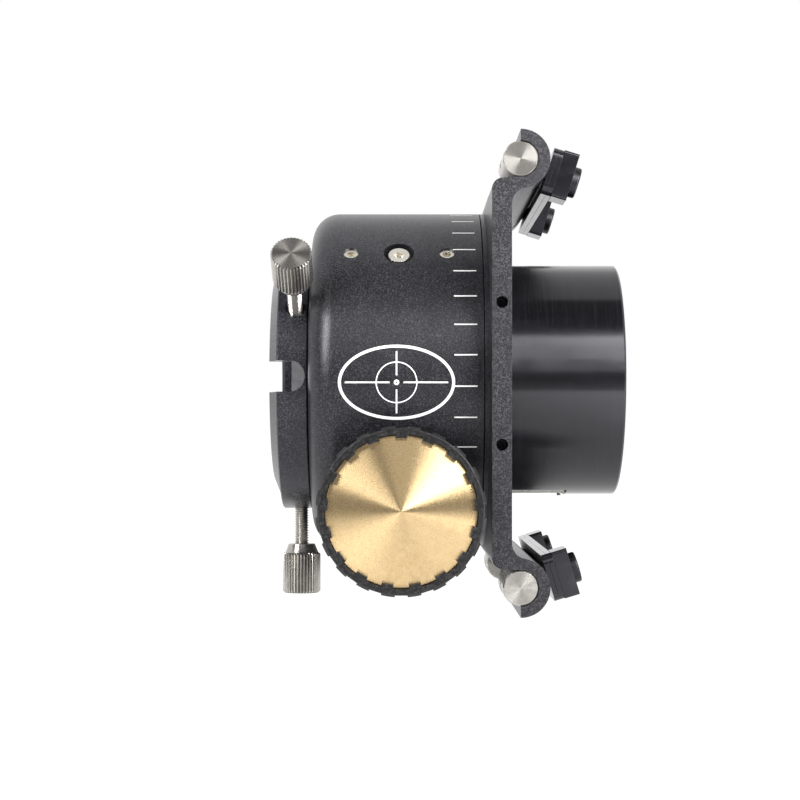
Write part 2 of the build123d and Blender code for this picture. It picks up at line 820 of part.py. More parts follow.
def make_grip(edge, radius, back, front, teeth, tooth_depth, groove_width, recess, recess_floor):
    """A knob's black grip; edge is -1 for the near side and +1 for the far side."""
    def level(distance):
        return Plane(origin=(shaft_x, edge * distance, shaft_z), x_dir=(1, 0, 0), z_dir=(0, edge, 0))

    with BuildPart() as grip:
        with BuildSketch(level(back)):
            Circle(radius)
        extrude(amount=front - back)
        chamfer(grip.edges().filter_by(GeomType.CIRCLE), knob_chamfer)
        with BuildSketch(level(back)):
            with PolarLocations(radius, teeth, start_angle=90):
                Rectangle(2 * tooth_depth, groove_width)
        extrude(amount=front - back, mode=Mode.SUBTRACT)
        with BuildSketch(level(recess_floor)):
            Circle(recess)
        extrude(amount=front, mode=Mode.SUBTRACT)
    return grip.part


def make_disc(edge, radius, back, face, hole):
    """A knob's brass disc with a low cone for its face, and a hole through it if hole isn't 0."""
    level = Plane(origin=(shaft_x, edge * back, shaft_z), x_dir=(1, 0, 0), z_dir=(0, edge, 0))
    rise = disc_rise * radius / disc_radius
    with BuildPart() as disc:
        with BuildSketch(level):
            Circle(radius)
        extrude(amount=face - back)
        with BuildSketch(level.offset(face - back)):
            Circle(radius - edge_break)
        with BuildSketch(level.offset(face - back + rise)):
            Circle(touch_gap)
        loft()
        if hole:
            with BuildSketch(level):
                Circle(hole)
            extrude(amount=face, mode=Mode.SUBTRACT)
    return disc


def make_big_grip(edge):
    """A macro knob's grip with small square tabs on its rim, over the edge of the disc."""
    blank = make_grip(
        edge, knob_radius, knob_back, knob_front, knob_teeth, knob_tooth_depth, knob_groove_width,
        disc_radius + sliding_gap, disc_back,
    )
    rim = Plane(origin=(shaft_x, edge * tab_back, shaft_z), x_dir=(1, 0, 0), z_dir=(0, edge, 0))
    with BuildPart() as grip:
        add(blank)
        with BuildSketch(rim):
            with PolarLocations(disc_radius - tab_depth / 2, tab_count, start_angle=-90 + 180 / tab_count):
                Rectangle(tab_depth + 3 * seam_gap, tab_width)
        extrude(amount=knob_front - tab_back)
        with BuildSketch(rim.offset(hub_start - tab_back)):
            Circle(hub_radius)
        extrude(amount=knob_back - hub_start)
        chamfer(grip.faces().sort_by(Axis.Y)[0 if edge > 0 else -1].edges(), 2 * edge_break)
        with BuildSketch(Plane(origin=(shaft_x, edge * hub_screw_y, shaft_z), z_dir=(0, 0, -1))):
            Circle(m3_radius)
        extrude(amount=hub_radius + 1, mode=Mode.SUBTRACT)
    return grip.part


near_grip_blank = make_big_grip(-1)
with BuildPart() as near_grip:
    add(near_grip_blank)
    with BuildSketch(drive_plane(0)):
        Circle(shaft_radius)
    extrude(amount=seam_gap - shaft_near_end, mode=Mode.SUBTRACT)
save(near_grip, "near_knob_grip")
save(make_disc(-1, disc_radius, disc_back, disc_face, 0), "near_knob_disc")

far_grip_blank = make_big_grip(1)
with BuildPart() as far_grip:
    add(far_grip_blank)
    with BuildSketch(drive_plane(shaft_far_end)):
        Circle(shaft_radius)
    extrude(amount=shaft_far_end, mode=Mode.SUBTRACT)
    with BuildSketch(drive_plane(disc_back)):
        Circle(cage_radius)
    extrude(amount=disc_back - shaft_far_end, mode=Mode.SUBTRACT)
save(far_grip, "far_knob_grip")
save(make_disc(1, disc_radius, disc_back, disc_face, fine_shaft_radius + 1), "far_knob_disc")

with BuildPart() as knob_set_screws:
    for edge in (-1, 1):
        bottom = (shaft_x, edge * hub_screw_y, shaft_z - shaft_radius - thread_gap)
        inner = Plane(origin=bottom, z_dir=(0, 0, -1))
        with BuildSketch(inner):
            Circle(m3_radius - thread_gap)
        extrude(amount=hub_radius - shaft_radius - edge_break)
        with BuildSketch(inner.offset(hub_radius - shaft_radius - edge_break)):
            RegularPolygon(m3_hex / 2, 6, major_radius=False)
        extrude(amount=-hex_depth, mode=Mode.SUBTRACT)
save(knob_set_screws, "knob_set_screws")

with BuildPart() as reduction_cage:
    with BuildSketch(drive_plane(cage_end)):
        Circle(cage_radius)
        Circle(fine_shaft_radius + running_gap, mode=Mode.SUBTRACT)
    extrude(amount=cage_end - cage_start)
    for third in range(3):
        angle = radians(90 + 120 * third)
        across = (cos(angle), 0, sin(angle))
        with BuildSketch(Plane(origin=(shaft_x, (cage_start + cage_end) / 2, shaft_z), z_dir=across)):
            Circle(ball_radius + touch_gap)
        extrude(amount=cage_radius + 1, mode=Mode.SUBTRACT)
save(reduction_cage, "reduction_cage")

with BuildPart() as reduction_balls:
    for third in range(3):
        angle = radians(90 + 120 * third)
        centre = (
            shaft_x + ball_circle * cos(angle),
            (cage_start + cage_end) / 2,
            shaft_z + ball_circle * sin(angle),
        )
        with Locations(centre):
            Sphere(ball_radius)
save(reduction_balls, "reduction_balls")

with BuildPart() as fine_shaft:
    with BuildSketch(drive_plane(fine_shaft_end)):
        Circle(fine_shaft_radius)
    extrude(amount=fine_shaft_end - fine_shaft_start)
save(fine_shaft, "fine_shaft")

fine_grip_blank = make_grip(
    1, fine_radius, fine_back, fine_front, fine_teeth, fine_tooth_depth, fine_groove_width,
    fine_disc_radius + sliding_gap, fine_front - fine_recess,
)
with BuildPart() as fine_grip:
    add(fine_grip_blank)
    with BuildSketch(drive_plane(fine_front)):
        Circle(fine_shaft_radius)
    extrude(amount=fine_front - fine_back, mode=Mode.SUBTRACT)
save(fine_grip, "fine_knob_grip")
save(make_disc(1, fine_disc_radius, fine_front - fine_recess, fine_disc_face, 0), "fine_knob_disc")
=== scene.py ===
import json
from math import cos, pi, radians, sin

import bmesh
import bpy
from mathutils import Matrix, Vector


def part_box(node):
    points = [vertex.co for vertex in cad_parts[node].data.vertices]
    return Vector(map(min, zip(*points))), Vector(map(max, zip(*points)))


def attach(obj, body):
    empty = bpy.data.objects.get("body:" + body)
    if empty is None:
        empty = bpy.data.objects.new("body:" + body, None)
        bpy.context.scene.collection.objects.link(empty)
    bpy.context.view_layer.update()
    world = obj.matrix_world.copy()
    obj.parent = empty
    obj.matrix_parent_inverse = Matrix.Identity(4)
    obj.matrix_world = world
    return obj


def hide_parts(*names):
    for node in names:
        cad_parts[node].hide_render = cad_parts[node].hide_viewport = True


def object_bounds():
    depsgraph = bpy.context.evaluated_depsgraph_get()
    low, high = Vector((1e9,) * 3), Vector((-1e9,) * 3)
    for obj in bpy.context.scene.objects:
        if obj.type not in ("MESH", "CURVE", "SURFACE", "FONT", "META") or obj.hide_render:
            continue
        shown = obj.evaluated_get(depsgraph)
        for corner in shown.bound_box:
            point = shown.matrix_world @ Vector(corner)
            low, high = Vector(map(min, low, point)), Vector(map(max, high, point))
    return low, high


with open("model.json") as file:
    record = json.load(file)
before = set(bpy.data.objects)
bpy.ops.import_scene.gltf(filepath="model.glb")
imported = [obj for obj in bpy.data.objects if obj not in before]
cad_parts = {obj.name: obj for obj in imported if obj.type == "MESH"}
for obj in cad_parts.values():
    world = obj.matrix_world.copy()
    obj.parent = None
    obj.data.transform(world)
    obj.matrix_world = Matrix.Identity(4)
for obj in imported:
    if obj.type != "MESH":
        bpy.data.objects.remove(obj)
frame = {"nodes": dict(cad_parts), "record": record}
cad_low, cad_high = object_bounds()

NODES = frame["nodes"]
MM = 0.001
WHITE = (1, 1, 1, 1)


# --- Shader helpers ------------------------------------------------------------------------------

BEVEL_SAMPLES = 4
FULL_WEAR_AND_HIGHLIGHT = 0.35  # 1 minus the cosine of the bevel's turn, where an edge gets its full wear and painted highlight
QUARTER_TURN = 0.25  # as the Principled shader counts its anisotropic rotation
# The Mix node has sockets for numbers, vectors and colours. These are the ones that mix colours.
COLOUR_MIX_FACTOR, COLOUR_MIX_INPUTS, COLOUR_MIX_RESULT = 0, (6, 7), 2


def toned(shade, factor, lift=0.0):
    """A shade made brighter or darker."""
    return tuple(min(1.0, channel * factor + lift) for channel in shade)


class Shader:
    """One node material, with short calls for the nodes that the finishes share."""

    def __init__(self, name):
        self.material = bpy.data.materials.new(name)
        self.material.use_nodes = True
        self.tree = self.material.node_tree
        self.tree.nodes.clear()
        self.output = self.node("ShaderNodeOutputMaterial")
        self.principled = self.node("ShaderNodeBsdfPrincipled")
        self.link(self.principled.outputs["BSDF"], self.output.inputs["Surface"])
        self.coords = self.node("ShaderNodeTexCoord").outputs["Object"]

    def node(self, kind, **settings):
        made = self.tree.nodes.new(kind)
        for key, value in settings.items():
            setattr(made, key, value)
        return made

    def link(self, start, end):
        self.tree.links.new(start, end)

    def base(self, metallic, roughness, specular=0.5):
        """The values that are the same all over the surface."""
        self.principled.inputs["Metallic"].default_value = metallic
        self.principled.inputs["Roughness"].default_value = roughness
        self.principled.inputs["Specular IOR Level"].default_value = specular

    def tint(self, shade):
        """The colour of a dielectric's highlights."""
        self.principled.inputs["Specular Tint"].default_value = (*shade, 1)

    def noise(self, scale, detail, roughness, stretch=(1, 1, 1)):
        """Noise in the object's own metres; its coordinates are multiplied by stretch, axis by axis."""
        mapping = self.node("ShaderNodeMapping")
        mapping.inputs["Scale"].default_value = stretch
        self.link(self.coords, mapping.inputs["Vector"])
        noise = self.node("ShaderNodeTexNoise")
        noise.inputs["Scale"].default_value = scale
        noise.inputs["Detail"].default_value = detail
        noise.inputs["Roughness"].default_value = roughness
        self.link(mapping.outputs["Vector"], noise.inputs["Vector"])
        return noise.outputs["Fac"]

    def ramp(self, value, stops):
        """A colour ramp from (position, colour) stops."""
        ramp = self.node("ShaderNodeValToRGB")
        elements = ramp.color_ramp.elements
        while len(elements) < len(stops):
            elements.new(0.5)  # its place is set just below
        for element, (position, colour) in zip(elements, stops):
            element.position = position
            element.color = (*colour, 1)
        self.link(value, ramp.inputs["Fac"])
        return ramp.outputs["Color"]

    def scaled(self, value, low, high, from_low=0.0, from_high=1.0):
        """A value moved from one range to another."""
        mapped = self.node("ShaderNodeMapRange")
        mapped.inputs["From Min"].default_value = from_low
        mapped.inputs["From Max"].default_value = from_high
        mapped.inputs["To Min"].default_value = low
        mapped.inputs["To Max"].default_value = high
        self.link(value, mapped.inputs["Value"])
        return mapped.outputs["Result"]

    def math(self, operation, first, second=None):
        """One arithmetic node; either input may be a number or another node's output."""
        made = self.node("ShaderNodeMath", operation=operation)
        for index, value in enumerate((first, second)):
            if isinstance(value, (int, float)):
                made.inputs[index].default_value = value
            elif value is not None:
                self.link(value, made.inputs[index])
        return made.outputs["Value"]

    def mix(self, factor, first, second):
        """A colour mix; first and second are colours or outputs."""
        made = self.node("ShaderNodeMix", data_type="RGBA")
        self.link(factor, made.inputs[COLOUR_MIX_FACTOR])
        for index, value in zip(COLOUR_MIX_INPUTS, (first, second)):
            if isinstance(value, tuple):
                made.inputs[index].default_value = (*value, 1)
            else:
                self.link(value, made.inputs[index])
        return made.outputs[COLOUR_MIX_RESULT]

    def colour(self, output):
        self.link(output, self.principled.inputs["Base Color"])

    def roughness(self, output):
        self.link(output, self.principled.inputs["Roughness"])

    def rounded_edges(self, radius):
        """A normal that rounds sharp edges by a small radius."""
        bevel = self.node("ShaderNodeBevel")
        bevel.samples = BEVEL_SAMPLES
        bevel.inputs["Radius"].default_value = radius
        return bevel.outputs["Normal"]

    def bump(self, height, distance, strength=1.0, normal=None):
        """A normal tilted by the slope of a height, on top of another normal if one is given."""
        made = self.node("ShaderNodeBump")
        made.inputs["Distance"].default_value = distance
        made.inputs["Strength"].default_value = strength
        self.link(height, made.inputs["Height"])
        if normal is not None:
            self.link(normal, made.inputs["Normal"])
        return made.outputs["Normal"]

    def normal(self, output):
        self.link(output, self.principled.inputs["Normal"])

    def edge_wear_and_highlight(self, radius):
        """A mask that is 1 on sharp edges and 0 on flat faces."""
        geometry = self.node("ShaderNodeNewGeometry")
        dot = self.node("ShaderNodeVectorMath", operation="DOT_PRODUCT")
        self.link(self.rounded_edges(radius), dot.inputs[0])
        self.link(geometry.outputs["Normal"], dot.inputs[1])
        turned = self.math("SUBTRACT", 1.0, dot.outputs["Value"])
        return self.scaled(turned, 0.0, 1.0, 0.0, FULL_WEAR_AND_HIGHLIGHT)

    def turned_about(self, axis, anisotropy):
        """Highlights that spread across turning marks round an axis of the object's own box."""
        self.principled.inputs["Anisotropic"].default_value = anisotropy
        self.principled.inputs["Anisotropic Rotation"].default_value = QUARTER_TURN
        tangent = self.node("ShaderNodeTangent", direction_type="RADIAL", axis=axis)
        self.link(tangent.outputs["Tangent"], self.principled.inputs["Tangent"])

    def radius_from(self, centre, axis):
        """Distance in metres from the line through centre that runs along the object's X, Y or Z."""
        offset = self.node("ShaderNodeVectorMath", operation="SUBTRACT")
        self.link(self.coords, offset.inputs[0])
        offset.inputs[1].default_value = centre
        flat = self.node("ShaderNodeVectorMath", operation="MULTIPLY")
        flat.inputs[1].default_value = [0 if name == axis else 1 for name in "XYZ"]
        self.link(offset.outputs["Vector"], flat.inputs[0])
        length = self.node("ShaderNodeVectorMath", operation="LENGTH")
        self.link(flat.outputs["Vector"], length.inputs[0])
        return length.outputs["Value"]


# --- Finishes ------------------------------------------------------------------------------------

# Noise rarely leaves the middle of its range. These are the parts of it that the finishes stretch out.
MOST_NOISE = (0.35, 0.7)
MIDDLE_NOISE = (0.4, 0.65)
UPPER_NOISE = (0.4, 0.7)
RUB_NOISE = (0.35, 0.75)
PRINT_NOISE = (0.45, 0.7)
ANODISED_TINT = (0.95, 0.94, 1.0)
CLOUD_WIDTH = 14  # in grains


def blasted_black(name, shade, grain, roughness, painted_glint, bump):
    """Black anodised aluminium over a bead-blasted surface: a fine pale grain on near-black, partly painted
    glints.

    The brightest grains are a given multiple of the shade: partly grain, partly painted glints. Broad clouds
    dim the grain. Edges are lightened in patches: partly wear, partly painted highlight.
    """
    shader = Shader(name)
    shader.base(metallic=0.0, roughness=roughness, specular=0.5)
    shader.tint(ANODISED_TINT)
    fine = shader.noise(grain, detail=2.0, roughness=0.8)
    broad = shader.noise(grain / CLOUD_WIDTH, detail=3.0, roughness=0.6)
    dark, painted_glint_colour, worn_and_highlight_colour = toned(shade, 0.45), toned(shade, painted_glint), toned(shade, 3.2, lift=0.02)
    # The brightest grains are partly grain and partly painted glints of the blasted surface.
    grain_and_glints = shader.ramp(fine, [(0.4, dark), (0.5, shade), (0.6, painted_glint_colour)])
    cloudy = shader.mix(shader.scaled(broad, 0.0, 0.35, *MOST_NOISE), grain_and_glints, dark)
    patchy = shader.scaled(broad, 0.1, 0.6, *MIDDLE_NOISE)
    # Edges lightened in patches: partly wear, partly painted highlight.
    wear_and_highlight = shader.math("MULTIPLY", shader.edge_wear_and_highlight(0.25 * MM), patchy)
    shader.colour(shader.mix(wear_and_highlight, cloudy, worn_and_highlight_colour))
    shader.roughness(shader.scaled(fine, roughness + 0.05, roughness - 0.03, *MOST_NOISE))
    shader.normal(shader.bump(fine, bump, 1.0, shader.rounded_edges(0.2 * MM)))
    return shader.material


TURNING_SCALE, TURNING_SQUEEZE = 60, 90
RUB_SCALE, RUB_STRETCH = 220, (0.35, 1, 1)


def glossy_black(name, shade, roughness, along, ring_bump, anisotropy):
    """Glossy black anodised aluminium with turning lines round X, Y or Z and faint rub marks."""
    shader = Shader(name)
    shader.base(metallic=0.0, roughness=roughness, specular=0.6)
    shader.tint(ANODISED_TINT)
    if anisotropy:
        shader.turned_about(along, anisotropy)
    squeeze = [TURNING_SQUEEZE if axis == along else 1 for axis in "XYZ"]
    turning = shader.noise(TURNING_SCALE, 3.0, 0.55, squeeze)
    scratches = shader.scaled(turning, 0.0, 1.0, 0.5, 0.72)
    rub = shader.noise(RUB_SCALE, 5.0, 0.7, RUB_STRETCH)
    rubbed = shader.scaled(rub, 0.0, 0.5, 0.52, 0.78)
    worn_and_highlight_colour = toned(shade, 3.0)
    # Edges lightened to a paler shade: partly wear, partly painted highlight.
    edges_worn_and_highlighted = shader.mix(shader.edge_wear_and_highlight(0.2 * MM), shade, worn_and_highlight_colour)
    shader.colour(shader.mix(shader.math("MAXIMUM", rubbed, scratches), edges_worn_and_highlighted, worn_and_highlight_colour))
    shader.roughness(shader.scaled(rub, roughness - 0.02, roughness + 0.05, *RUB_NOISE))
    shader.normal(shader.bump(turning, ring_bump, 0.6, shader.rounded_edges(0.15 * MM)))
    return shader.material


RING_PITCH = 0.35 * MM
RING_HEIGHT = 0.0015 * MM
TURNED_TARNISH_SCALE = 500
# How dark the painted shade in the knurl's grooves is, at the root.
GROOVE_PAINTED_SHADE = 0.9


def turned_metal(name, shade, dark, roughness, axis, centre, anisotropy, lean=0.0, painted_groove_shade=None):
    """Bare metal turned on a lathe: fine rings, tarnish, and highlights that fan out from the axis.

    The shading leans outward by the slope lean. Between the two groove radii the colour carries painted
    shade, darkest at the first.
    """
    shader = Shader(name)
    shader.base(metallic=1.0, roughness=roughness)
    shader.turned_about(axis, anisotropy)
    radius = shader.radius_from(centre, axis)
    rings = shader.math("SINE", shader.math("MULTIPLY", radius, 2 * pi / RING_PITCH))
    tarnish = shader.noise(TURNED_TARNISH_SCALE, detail=4.0, roughness=0.75)
    surface = shader.mix(shader.scaled(tarnish, 0.0, 1.0, *MOST_NOISE), shade, dark)
    # Painted shade: the knurl's grooves are darkened in the colour, most at the root.
    if painted_groove_shade:
        root, crest = painted_groove_shade
        depth = shader.scaled(radius, GROOVE_PAINTED_SHADE, 0.0, root, crest)
        outside = shader.math("GREATER_THAN", radius, root)
        surface = shader.mix(shader.math("MULTIPLY", depth, outside), surface, toned(dark, 0.25))
    shader.colour(surface)
    shader.roughness(shader.scaled(tarnish, roughness - 0.015, roughness + 0.02, *MOST_NOISE))
    leaning = shader.bump(shader.math("MULTIPLY", radius, -lean), 1.0)
    shader.normal(shader.bump(rings, RING_HEIGHT, 0.3, leaning))
    return shader.material


METAL_GRAIN = 1500
METAL_BUMP = 0.004 * MM
TARNISH_WIDTH = 12  # in grains


def plain_metal(name, shade, dark, roughness):
    """Machined or ground metal with a fine grain and a little tarnish."""
    shader = Shader(name)
    shader.base(metallic=1.0, roughness=roughness)
    fine = shader.noise(METAL_GRAIN, detail=3.0, roughness=0.6)
    tarnish = shader.noise(METAL_GRAIN / TARNISH_WIDTH, detail=4.0, roughness=0.65)
    shader.colour(shader.mix(shader.scaled(tarnish, 0.0, 0.7, *UPPER_NOISE), shade, dark))
    shader.roughness(shader.scaled(fine, roughness - 0.06, roughness + 0.12, *MOST_NOISE))
    shader.normal(shader.bump(fine, METAL_BUMP, 0.6, shader.rounded_edges(0.12 * MM)))
    return shader.material


NYLON_GRAIN = 1800
CREAM, DARK_CREAM = (0.74, 0.71, 0.63), (0.58, 0.54, 0.45)


def nylon(name):
    """Natural nylon: cream, soft gloss, fine turned grain."""
    shader = Shader(name)
    shader.base(metallic=0.0, roughness=0.5, specular=0.4)
    fine = shader.noise(NYLON_GRAIN, detail=3.0, roughness=0.6)
    shader.colour(shader.mix(shader.scaled(fine, 0.0, 0.5, *MIDDLE_NOISE), CREAM, DARK_CREAM))
    shader.normal(shader.bump(fine, 0.01 * MM, 0.5, shader.rounded_edges(0.1 * MM)))
    return shader.material


INK_GRAIN = 2600
INK, THIN_INK = (0.86, 0.86, 0.84), (0.55, 0.55, 0.54)


def white_print(name):
    """White screen print: matt ink with thin spots in it."""
    shader = Shader(name)
    shader.base(metallic=0.0, roughness=0.55, specular=0.3)
    fine = shader.noise(INK_GRAIN, detail=3.0, roughness=0.6)
    shader.colour(shader.mix(shader.scaled(fine, 0.0, 0.35, *PRINT_NOISE), INK, THIN_INK))
    shader.normal(shader.bump(fine, 0.006 * MM, 0.5))
    return shader.material


# --- Mesh helpers --------------------------------------------------------------------------------

SHARP_ANGLE = radians(32)
SAME_PLACE = 0.0002 * MM
NO_LENGTH = 0.0001 * MM
SAME_TURN = 1e-4
STAY = Matrix.Identity(4)


def even_turns(count):
    """Evenly spaced angles round a full turn."""
    return [2 * pi * step / count for step in range(count)]


def tooth_level(turn, count, share, flank):
    """1 on a tooth and 0 in a gap, with sloping flanks; share and flank are parts of the pitch."""
    place = (turn * count / (2 * pi)) % 1.0
    off_centre = min(place, 1.0 - place)
    return max(0.0, min(1.0, (share / 2 + flank / 2 - off_centre) / flank))


def tooth_turns(count, share, flank, steps=2):
    """Angles that fall on each corner of the teeth, with a few between, in order and without near doubles."""
    crest = (share - flank) / 2
    gap_start, gap_end = (share + flank) / 2, 1.0 - (share + flank) / 2
    offsets = [-crest + 2 * crest * step / steps for step in range(steps + 1)]
    offsets += [gap_start + (gap_end - gap_start) * step / steps for step in range(steps + 1)]
    places = [tooth + offset for tooth in range(count) for offset in offsets]
    turns = []
    for turn in sorted((2 * pi * place / count) % (2 * pi) for place in places):
        if not turns or turn - turns[-1] > SAME_TURN:
            turns.append(turn)
    return turns


def toothed(radius, depth, count, share, flank):
    """A radius that drops by depth between teeth."""
    return lambda turn: radius - depth * (1.0 - tooth_level(turn, count, share, flank))


def lathe(outline, turns):
    """Vertices and faces of (radius, height) points turned about Z.

    A radius may be a function of the turn. An outline that starts and ends at radius 0 gives a closed solid.
    """
    vertices, faces, rings = [], [], []
    for radius, height in outline:
        start = len(vertices)
        if radius == 0:
            vertices.append((0, 0, height))
            rings.append([start] * len(turns))
            continue
        for turn in turns:
            reach = radius(turn) if callable(radius) else radius
            vertices.append((reach * cos(turn), reach * sin(turn), height))
        rings.append(list(range(start, start + len(turns))))
    for first, second in zip(rings, rings[1:]):
        for step in range(len(turns)):
            after = (step + 1) % len(turns)
            corners = [first[step], first[after], second[after], second[step]]
            corners = [corner for index, corner in enumerate(corners) if corner != corners[index - 1]]
            if len(corners) > 2:
                faces.append(corners)
    return vertices, faces


THREAD_STEPS = 28
CREST_END, ROOT_START, ROOT_END = 0.14, 0.44, 0.7  # where the flats lie, as parts of the pitch


def thread(radius, depth, pitch, start, end):
    """A screw thread about Z as a closed solid, with flat crests and roots."""
    root = radius - depth
    profile = [(0.0, radius), (CREST_END, radius), (ROOT_START, root), (ROOT_END, root)]
    rows = [
        (start + (turn_number + share) * pitch, reach)
        for turn_number in range(-1, int((end - start) / pitch) + 2)
        for share, reach in profile
    ]
    vertices, faces = [], []
    for height, reach in rows:
        for step in range(THREAD_STEPS + 1):
            turn = 2 * pi * step / THREAD_STEPS
            level = height + pitch * step / THREAD_STEPS
            width = reach if start < level < end else root
            vertices.append((width * cos(turn), width * sin(turn), min(max(level, start), end)))
    across = THREAD_STEPS + 1
    for row in range(len(rows) - 1):
        for step in range(THREAD_STEPS):
            corner = row * across + step
            faces.append((corner, corner + 1, corner + across + 1, corner + across))
    for row in (0, len(rows) - 1):
        centre = len(vertices)
        vertices.append((0, 0, start if row == 0 else end))
        for step in range(THREAD_STEPS):
            faces.append((centre, row * across + step, row * across + step + 1))
    return vertices, faces


def make_piece(name, parts, place, finish, body, replaced=()):
    """One object from (vertices, faces) parts in its own frame, put in its place and riding on a body."""
    solid = bmesh.new()
    for vertices, faces in parts:
        made = [solid.verts.new(vertex) for vertex in vertices]
        for face in faces:
            corners = [made[index] for index in face]
            if len(set(corners)) > 2 and solid.faces.get(corners) is None:
                solid.faces.new(corners)
    bmesh.ops.remove_doubles(solid, verts=solid.verts, dist=SAME_PLACE)
    bmesh.ops.dissolve_degenerate(solid, edges=solid.edges, dist=NO_LENGTH)
    bmesh.ops.recalc_face_normals(solid, faces=solid.faces)
    for face in solid.faces:
        face.smooth = True
    for edge in solid.edges:
        if len(edge.link_faces) == 2 and edge.calc_face_angle(0.0) > SHARP_ANGLE:
            edge.smooth = False
    mesh = bpy.data.meshes.new(name)
    solid.to_mesh(mesh)
    solid.free()
    mesh.materials.append(finish)
    piece = bpy.data.objects.new(name, mesh)
    piece.matrix_world = place
    bpy.context.scene.collection.objects.link(piece)
    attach(piece, body)
    if replaced:
        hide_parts(*replaced)


def facing(origin, direction):
    """A matrix whose Z points along a direction that is square to X, which stays as it is."""
    up = Vector(direction).normalized()
    right = Vector((1, 0, 0))
    matrix = Matrix((right, up.cross(right), up)).transposed().to_4x4()
    matrix.translation = Vector(origin)
    return matrix


# --- Finishes by slot ----------------------------------------------------------------------------

STEEL, STEEL_DARK = (0.58, 0.56, 0.525), (0.46, 0.435, 0.4)
BRASS, BRASS_DARK = (0.87, 0.65, 0.36), (0.78, 0.56, 0.29)
OWN_ORIGIN = (0, 0, 0)
KNURL_PAINTED_SHADE_RADII = (4.72 * MM, 5.15 * MM)  # radii of the knurled heads between which painted shade darkens the grooves

FINISH = {
    "plate_anodised": blasted_black(
        "plate_grain", (0.0085, 0.0082, 0.0092), grain=2900, roughness=0.3, painted_glint=8.0, bump=0.08 * MM
    ),
    "body_anodised": blasted_black(
        "body_grain", (0.0055, 0.0055, 0.0064), grain=2700, roughness=0.31, painted_glint=9.0, bump=0.03 * MM
    ),
    "clamp_anodised": blasted_black(
        "clamp_grain", (0.007, 0.007, 0.009), grain=2700, roughness=0.25, painted_glint=8.0, bump=0.025 * MM
    ),
    "grip_anodised": blasted_black(
        "grip_grain", (0.004, 0.0038, 0.0036), grain=2300, roughness=0.27, painted_glint=9.0, bump=0.07 * MM
    ),
    "tube_anodised": glossy_black(
        "tube_gloss", (0.005, 0.005, 0.006), roughness=0.21, along="X", ring_bump=0.003 * MM, anisotropy=0.9
    ),
    "strip_anodised": glossy_black(
        "strip_gloss", (0.008, 0.008, 0.01), roughness=0.16, along="Y", ring_bump=0.004 * MM, anisotropy=0
    ),
    "screw_steel": plain_metal("screw_steel", (0.82, 0.79, 0.72), (0.6, 0.55, 0.46), 0.3),
    "black_steel": plain_metal("black_oxide", (0.05, 0.05, 0.055), (0.02, 0.02, 0.025), 0.36),
    "track_steel": plain_metal("ground_steel", (0.58, 0.57, 0.55), (0.42, 0.4, 0.37), 0.3),
    "bearing_steel": plain_metal("polished_steel", (0.66, 0.66, 0.66), (0.5, 0.49, 0.47), 0.16),
    "ring_steel": plain_metal("satin_steel", (0.34, 0.34, 0.35), (0.24, 0.24, 0.25), 0.42),
    "bush_bronze": plain_metal("bush_bronze", (0.55, 0.36, 0.18), (0.34, 0.2, 0.1), 0.36),
    "stainless": turned_metal(
        "turned_stainless", STEEL, STEEL_DARK, 0.28, "Z", OWN_ORIGIN, anisotropy=0.8, painted_groove_shade=KNURL_PAINTED_SHADE_RADII
    ),
    "disc_brass": turned_metal(
        "turned_brass", BRASS, BRASS_DARK, 0.27, "Z", OWN_ORIGIN, anisotropy=0.95, lean=0.085
    ),
    "pad_nylon": nylon("nylon"),
}
PRINT = white_print("scale_print")

for entry in frame["record"]["subparts"]:
    slots = NODES[entry["node"]].data.materials
    slots.clear()
    slots.append(FINISH[entry["material_slot"]])

# The barrel nuts lie across the optical axis, so their turning marks run about a line along Y.
for side in ("upper", "lower"):
    node = f"{side}_barrel_nuts"
    centre = tuple(sum(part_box(node), Vector()) / 2)
    NODES[node].data.materials[0] = turned_metal(
        f"{side}_nut_steel", STEEL, STEEL_DARK, 0.24, "Y", centre, anisotropy=0.9
    )

# --- Brass discs ---------------------------------------------------------------------------------

SHAFT = sum(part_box("drive_shaft"), Vector()) / 2
DISC_RISE = 1.0 * MM
DISC_EASE = 0.18 * MM
THIN_DISC = 1.5 * DISC_RISE
DISC_TURNS = 160
CONE_STEPS = 12


def make_disc(node, body, outward):
    """A turned brass face: a low cone with an eased rim, or a flat face if the disc is thin."""
    low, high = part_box(node)
    radius = (high.x - low.x) / 2
    depth = high.y - low.y
    back = high.y if outward < 0 else low.y
    edge_height = depth - (DISC_RISE if depth > THIN_DISC else 0)
    cone_radius = radius - DISC_EASE
    outline = [(0, 0), (cone_radius, 0), (radius, DISC_EASE), (radius, edge_height - DISC_EASE)]
    for step in range(CONE_STEPS):
        share = step / CONE_STEPS
        outline.append((cone_radius * (1 - share), edge_height + (depth - edge_height) * share))
    outline.append((0, depth))
    turned = lathe(outline, even_turns(DISC_TURNS))
    place = facing((SHAFT.x, back, SHAFT.z), (0, outward, 0))
    make_piece(f"{node}_turned", [turned], place, FINISH["disc_brass"], body, [node])


make_disc("near_knob_disc", "drive", -1)
make_disc("far_knob_disc", "drive", 1)
make_disc("fine_knob_disc", "fine_drive", 1)

# --- Knurled screws ------------------------------------------------------------------------------

KNURL_COUNT = 36
KNURL_SHARE = 0.52
KNURL_FLANK = 0.3
KNURL_DEPTH = 0.5 * MM
KNURL_BEVEL = 0.45 * MM
THREAD_PITCH = 0.7 * MM
THREAD_RADIUS = 1.97 * MM
THREAD_DEPTH = 0.34 * MM
TIP_TURNS = 32

# The thumb screws' steps, as distances from the optical axis.
THUMB_TIP = 28.4 * MM
THUMB_NECK = 45.7 * MM
THUMB_HEAD = 48.2 * MM
THUMB_END = 59.4 * MM
THUMB_HEAD_RADIUS = 5.27 * MM
THUMB_NECK_RADIUS = 3.7 * MM

